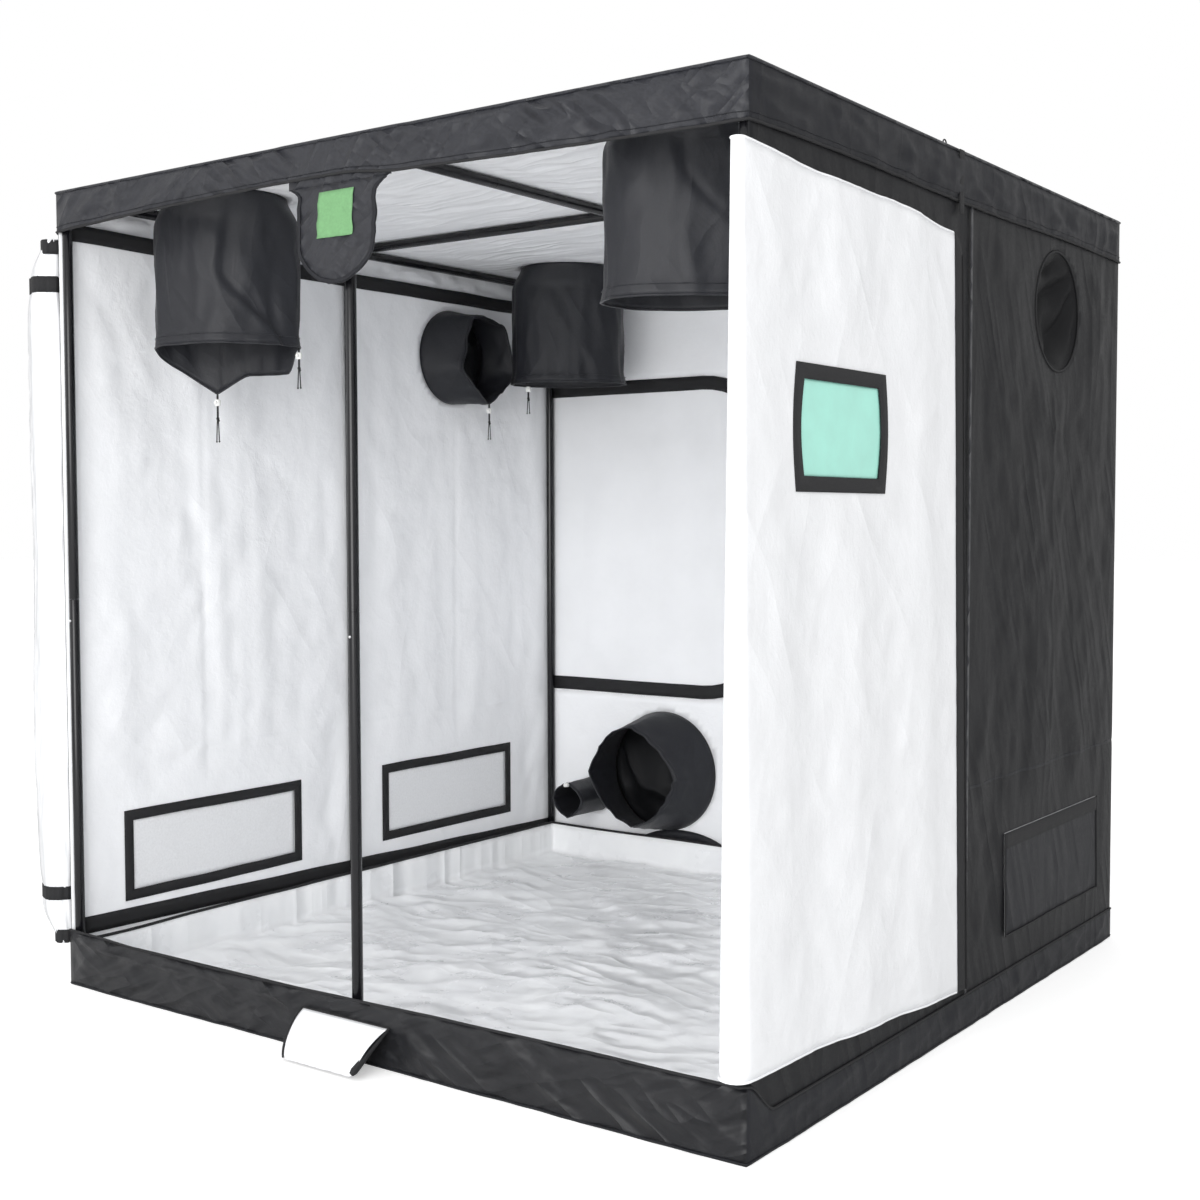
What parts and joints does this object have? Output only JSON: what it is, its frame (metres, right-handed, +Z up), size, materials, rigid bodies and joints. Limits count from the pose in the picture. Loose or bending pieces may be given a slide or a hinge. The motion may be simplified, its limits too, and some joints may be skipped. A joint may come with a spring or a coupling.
{
  "type": "indoor grow tent",
  "caption": "Square indoor grow tent: a steel pole frame under a white-lined black cover, with duct ports, vents, a front door folded back, a rear door and a spill tray.",
  "frame": {"origin": "on the floor under the middle of the tent", "axes": "+Z up; the front is at -Y; +X is to the right for someone who looks in from the front"},
  "size_m": [2.1559, 2.0937, 2],
  "materials": {
    "pole_steel": "gloss black powder coat",
    "button_steel": "bright steel",
    "white_liner": "white coated inner face, black woven outer face",
    "black_oxford": "black woven nylon",
    "black_sock": "black soft nylon",
    "vent_net": "fine pale net with a black tape edge",
    "green_pane": "pale green viewing film",
    "slider_metal": "black zip slider",
    "tray_liner": "white coated waterproof liner",
    "black_cord": "black braided cord",
    "white_plastic": "white moulded cord lock"
  },
  "bodies": {
    "tent": {"front_left_post_lower": "pole_steel", "front_left_post_upper": "pole_steel", "front_left_top_corner": "pole_steel", "front_right_post_lower": "pole_steel", "front_right_post_upper": "pole_steel", "front_right_top_corner": "pole_steel", "rear_left_post": "pole_steel", "rear_right_post": "pole_steel", "front_mid_post": "pole_steel", "right_mid_post": "pole_steel", "rear_mid_post": "pole_steel", "left_mid_post": "pole_steel", "base_frame": "pole_steel", "front_top_rail": "pole_steel", "right_top_rail": "pole_steel", "rear_top_rail": "pole_steel", "left_top_rail": "pole_steel", "roof_bar_with_cross": "pole_steel", "roof_bar_left": "pole_steel", "roof_bar_right": "pole_steel", "roof_panel": "white_liner", "roof_band": "black_oxford", "floor_pan": "black_oxford", "left_wall": "white_liner", "right_wall": "white_liner", "rear_wall": "white_liner", "left_front_vent_net": "vent_net", "left_rear_vent_net": "vent_net", "right_rear_vent_net": "vent_net", "ceiling_sock_front_left": "black_sock", "ceiling_sock_front_right": "black_sock", "ceiling_sock_rear_left": "black_sock", "ceiling_sock_rear_right": "black_sock", "left_port_sock": "black_sock", "right_port_sock": "black_sock", "air_inlet_sock": "black_sock", "cable_port_sock": "black_sock", "spill_tray": "tray_liner", "drawcord_front_left_outer": "black_cord", "drawcord_front_left_inner": "black_cord", "drawcord_front_right": "black_cord", "drawcord_rear_left": "black_cord", "drawcord_left_port": "black_cord"},
    "right_door": {"right_door": "white_liner", "window_pane": "green_pane"},
    "zip_slider": {"door_zip_slider": "slider_metal"},
    "rear_door": {"rear_door": "white_liner"},
    "left_front_vent_flap": {"left_front_vent_flap": "black_oxford"},
    "left_rear_vent_flap": {"left_rear_vent_flap": "black_oxford"},
    "right_rear_vent_flap": {"right_rear_vent_flap": "black_oxford"},
    "front_tab": {"front_tab": "black_oxford"},
    "sill_flap": {"sill_flap": "white_liner"},
    "left_door_roll": {"left_door_roll": "white_liner"},
    "front_left_snap_button": {"front_left_snap_button": "button_steel"},
    "front_right_snap_button": {"front_right_snap_button": "button_steel"},
    "cord_lock_front_left_outer": {"cord_lock_front_left_outer": "white_plastic"},
    "cord_lock_front_left_inner": {"cord_lock_front_left_inner": "white_plastic"},
    "cord_lock_front_right": {"cord_lock_front_right": "white_plastic"},
    "cord_lock_rear_left": {"cord_lock_rear_left": "white_plastic"},
    "cord_lock_left_port": {"cord_lock_left_port": "white_plastic"}
  },
  "joints": [
    {"name": "right_door_swing", "type": "hinge", "parent": "tent", "child": "right_door", "pos_m": [1, -1.034, 0.9], "axis": [0, 0, -1], "range_deg": [0, 270]},
    {"name": "door_zip_travel", "type": "slide", "parent": "right_door", "child": "zip_slider", "axis": [0, -0.0322, 0.9995], "range_m": [-0.27, 1.36]},
    {"name": "rear_door_swing", "type": "hinge", "parent": "tent", "child": "rear_door", "pos_m": [-0.985, 1.0003, 1.12], "axis": [0, 0, 1], "range_deg": [0, 175]},
    {"name": "left_front_vent_lift", "type": "hinge", "parent": "tent", "child": "left_front_vent_flap", "pos_m": [-1.0023, -0.5175, 0.42], "axis": [0, 1, 0], "range_deg": [0, 170]},
    {"name": "left_rear_vent_lift", "type": "hinge", "parent": "tent", "child": "left_rear_vent_flap", "pos_m": [-1.0023, 0.455, 0.42], "axis": [0, 1, 0], "range_deg": [0, 170]},
    {"name": "right_rear_vent_lift", "type": "hinge", "parent": "tent", "child": "right_rear_vent_flap", "pos_m": [1.0023, 0.54, 0.42], "axis": [0, -1, 0], "range_deg": [0, 170]},
    {"name": "front_tab_lift", "type": "hinge", "parent": "tent", "child": "front_tab", "pos_m": [-0.013, -1.0023, 1.904], "axis": [-1, 0, 0], "range_deg": [0, 150]},
    {"name": "sill_flap_lift", "type": "hinge", "parent": "tent", "child": "sill_flap", "pos_m": [-0.01, -1.0003, 0.094], "axis": [-1, 0, 0], "range_deg": [0, 40]},
    {"name": "left_door_roll_swing", "type": "hinge", "parent": "tent", "child": "left_door_roll", "pos_m": [-1, -1, 1], "axis": [0, 0, 1], "range_deg": [0, 90]},
    {"name": "front_left_button_press", "type": "slide", "parent": "tent", "child": "front_left_snap_button", "axis": [0, 1, 0], "range_m": [0, 0.003], "stiffness_N_per_m": 500},
    {"name": "front_right_button_press", "type": "slide", "parent": "tent", "child": "front_right_snap_button", "axis": [0, 1, 0], "range_m": [0, 0.003], "stiffness_N_per_m": 500},
    {"name": "cord_lock_front_left_outer_slide", "type": "slide", "parent": "tent", "child": "cord_lock_front_left_outer", "axis": [0, 0, -1], "range_m": [-0.012, 0.018]},
    {"name": "cord_lock_front_left_inner_slide", "type": "slide", "parent": "tent", "child": "cord_lock_front_left_inner", "axis": [0, 0, -1], "range_m": [-0.012, 0.018]},
    {"name": "cord_lock_front_right_slide", "type": "slide", "parent": "tent", "child": "cord_lock_front_right", "axis": [0, 0, -1], "range_m": [-0.012, 0.018]},
    {"name": "cord_lock_rear_left_slide", "type": "slide", "parent": "tent", "child": "cord_lock_rear_left", "axis": [0, 0, -1], "range_m": [-0.012, 0.018]},
    {"name": "cord_lock_left_port_slide", "type": "slide", "parent": "tent", "child": "cord_lock_left_port", "axis": [0, 0, -1], "range_m": [-0.012, 0.018]}
  ]
}
